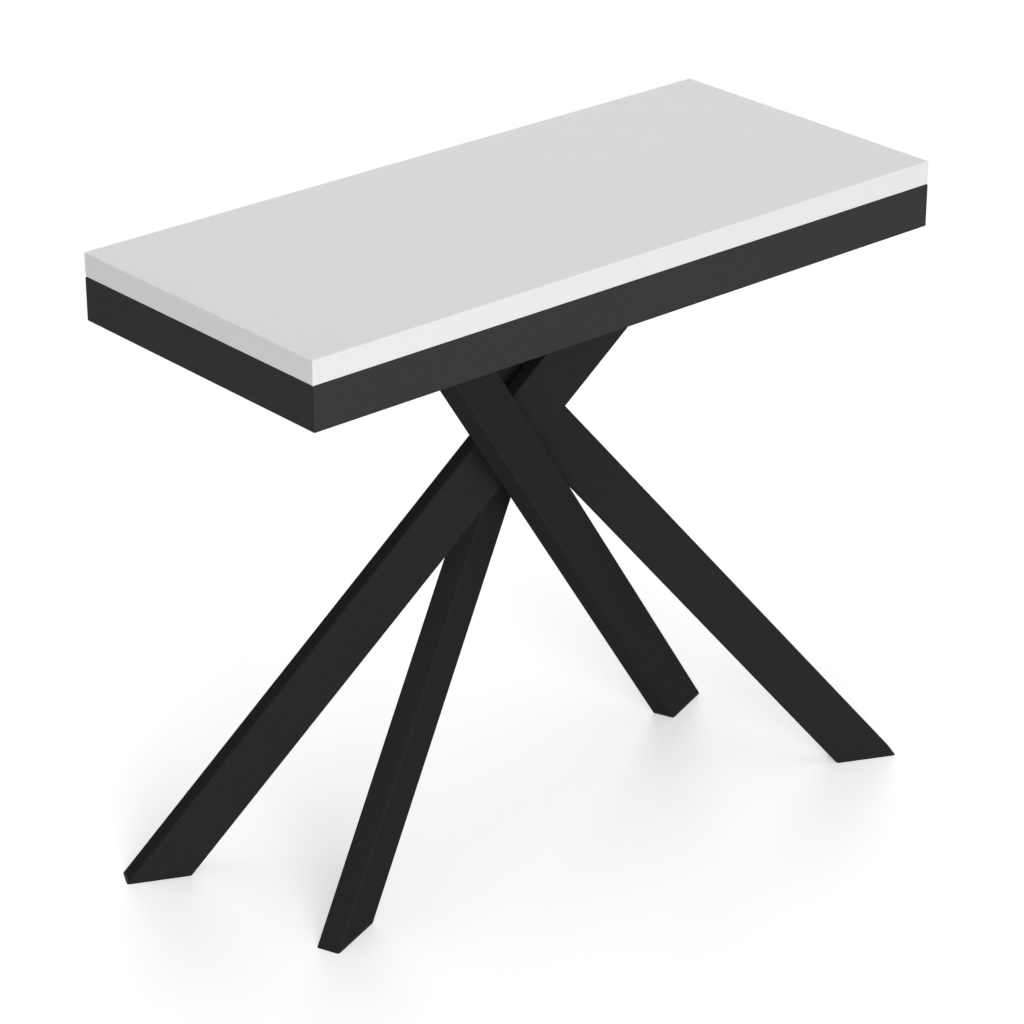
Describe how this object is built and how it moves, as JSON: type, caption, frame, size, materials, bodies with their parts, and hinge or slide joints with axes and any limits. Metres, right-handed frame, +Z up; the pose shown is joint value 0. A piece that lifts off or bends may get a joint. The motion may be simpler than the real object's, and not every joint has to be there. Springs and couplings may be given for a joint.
{
  "type": "extending console table",
  "caption": "Narrow console table on crossed leaning tube legs; its front half and top pull out on telescopic runners to take loose leaves and make a long dining table.",
  "frame": {"origin": "on the floor, under the middle of the top", "axes": "+X along the length, to the right seen from the front; +Y to the rear, towards the wall; +Z up"},
  "size_m": [0.912, 0.4, 0.78],
  "materials": {
    "white_board": "matte white melamine face",
    "white_band": "matte white edge band",
    "grey_powder_coat": "matte dark grey powder coat",
    "aluminium": "mill-finish extrusion",
    "zinc_steel": "zinc plated",
    "black_plastic": "moulded, fine texture",
    "grey_plastic": "moulded"
  },
  "bodies": {
    "front_half": {"front_cross_tube": "grey_powder_coat", "front_edge_band": "white_band", "front_left_foot_plug": "black_plastic", "front_left_leg": "grey_powder_coat", "front_left_side_rail": "grey_powder_coat", "front_leg_bolts": "zinc_steel", "front_leg_flanges": "grey_powder_coat", "front_leg_nuts": "zinc_steel", "front_leg_plate": "grey_powder_coat", "front_rail": "grey_powder_coat", "front_right_foot_plug": "black_plastic", "front_right_leg": "grey_powder_coat", "front_right_side_rail": "grey_powder_coat", "front_runner_screws": "zinc_steel", "front_stop_blocks": "zinc_steel", "leaf_sockets": "grey_plastic", "left_edge_band": "white_band", "left_runner_6": "aluminium", "rear_edge_band": "white_band", "right_edge_band": "white_band", "right_runner_6": "aluminium", "top_board": "white_board", "top_screws": "zinc_steel"},
    "rear_half": {"left_runner_0": "aluminium", "rear_cross_tube": "grey_powder_coat", "rear_left_foot_plug": "black_plastic", "rear_left_leg": "grey_powder_coat", "rear_left_side_rail": "grey_powder_coat", "rear_leg_bolts": "zinc_steel", "rear_leg_flanges": "grey_powder_coat", "rear_leg_nuts": "zinc_steel", "rear_leg_plate": "grey_powder_coat", "rear_rail": "grey_powder_coat", "rear_right_foot_plug": "black_plastic", "rear_right_leg": "grey_powder_coat", "rear_right_side_rail": "grey_powder_coat", "rear_runner_angles": "grey_powder_coat", "rear_runner_screws": "zinc_steel", "right_runner_0": "aluminium"},
    "left_stage_1": {"left_runner_1": "aluminium", "left_stop_block_1": "zinc_steel"},
    "left_stage_2": {"left_runner_2": "aluminium", "left_stop_block_2": "zinc_steel"},
    "left_stage_3": {"left_runner_3": "aluminium", "left_stop_block_3": "zinc_steel"},
    "left_stage_4": {"left_runner_4": "aluminium", "left_stop_block_4": "zinc_steel"},
    "left_stage_5": {"left_runner_5": "aluminium", "left_stop_block_5": "zinc_steel"},
    "right_stage_1": {"right_runner_1": "aluminium", "right_stop_block_1": "zinc_steel"},
    "right_stage_2": {"right_runner_2": "aluminium", "right_stop_block_2": "zinc_steel"},
    "right_stage_3": {"right_runner_3": "aluminium", "right_stop_block_3": "zinc_steel"},
    "right_stage_4": {"right_runner_4": "aluminium", "right_stop_block_4": "zinc_steel"},
    "right_stage_5": {"right_runner_5": "aluminium", "right_stop_block_5": "zinc_steel"}
  },
  "joints": [
    {"name": "extension", "type": "slide", "parent": "rear_half", "child": "front_half", "axis": [0, -1, 0], "range_m": [0, 1.56]},
    {"name": "left_stage_1_slide", "type": "slide", "parent": "rear_half", "child": "left_stage_1", "axis": [0, -1, 0], "range_m": [0, 0.26]},
    {"name": "left_stage_2_slide", "type": "slide", "parent": "rear_half", "child": "left_stage_2", "axis": [0, -1, 0], "range_m": [0, 0.52]},
    {"name": "left_stage_3_slide", "type": "slide", "parent": "rear_half", "child": "left_stage_3", "axis": [0, -1, 0], "range_m": [0, 0.78]},
    {"name": "left_stage_4_slide", "type": "slide", "parent": "rear_half", "child": "left_stage_4", "axis": [0, -1, 0], "range_m": [0, 1.04]},
    {"name": "left_stage_5_slide", "type": "slide", "parent": "rear_half", "child": "left_stage_5", "axis": [0, -1, 0], "range_m": [0, 1.3]},
    {"name": "right_stage_1_slide", "type": "slide", "parent": "rear_half", "child": "right_stage_1", "axis": [0, -1, 0], "range_m": [0, 0.26]},
    {"name": "right_stage_2_slide", "type": "slide", "parent": "rear_half", "child": "right_stage_2", "axis": [0, -1, 0], "range_m": [0, 0.52]},
    {"name": "right_stage_3_slide", "type": "slide", "parent": "rear_half", "child": "right_stage_3", "axis": [0, -1, 0], "range_m": [0, 0.78]},
    {"name": "right_stage_4_slide", "type": "slide", "parent": "rear_half", "child": "right_stage_4", "axis": [0, -1, 0], "range_m": [0, 1.04]},
    {"name": "right_stage_5_slide", "type": "slide", "parent": "rear_half", "child": "right_stage_5", "axis": [0, -1, 0], "range_m": [0, 1.3]}
  ],
  "couplings": [
    {"joint": "left_stage_1_slide", "follows": "extension", "ratio": 0.16667},
    {"joint": "left_stage_2_slide", "follows": "extension", "ratio": 0.33333},
    {"joint": "left_stage_3_slide", "follows": "extension", "ratio": 0.5},
    {"joint": "left_stage_4_slide", "follows": "extension", "ratio": 0.66667},
    {"joint": "left_stage_5_slide", "follows": "extension", "ratio": 0.83333},
    {"joint": "right_stage_1_slide", "follows": "extension", "ratio": 0.16667},
    {"joint": "right_stage_2_slide", "follows": "extension", "ratio": 0.33333},
    {"joint": "right_stage_3_slide", "follows": "extension", "ratio": 0.5},
    {"joint": "right_stage_4_slide", "follows": "extension", "ratio": 0.66667},
    {"joint": "right_stage_5_slide", "follows": "extension", "ratio": 0.83333}
  ]
}
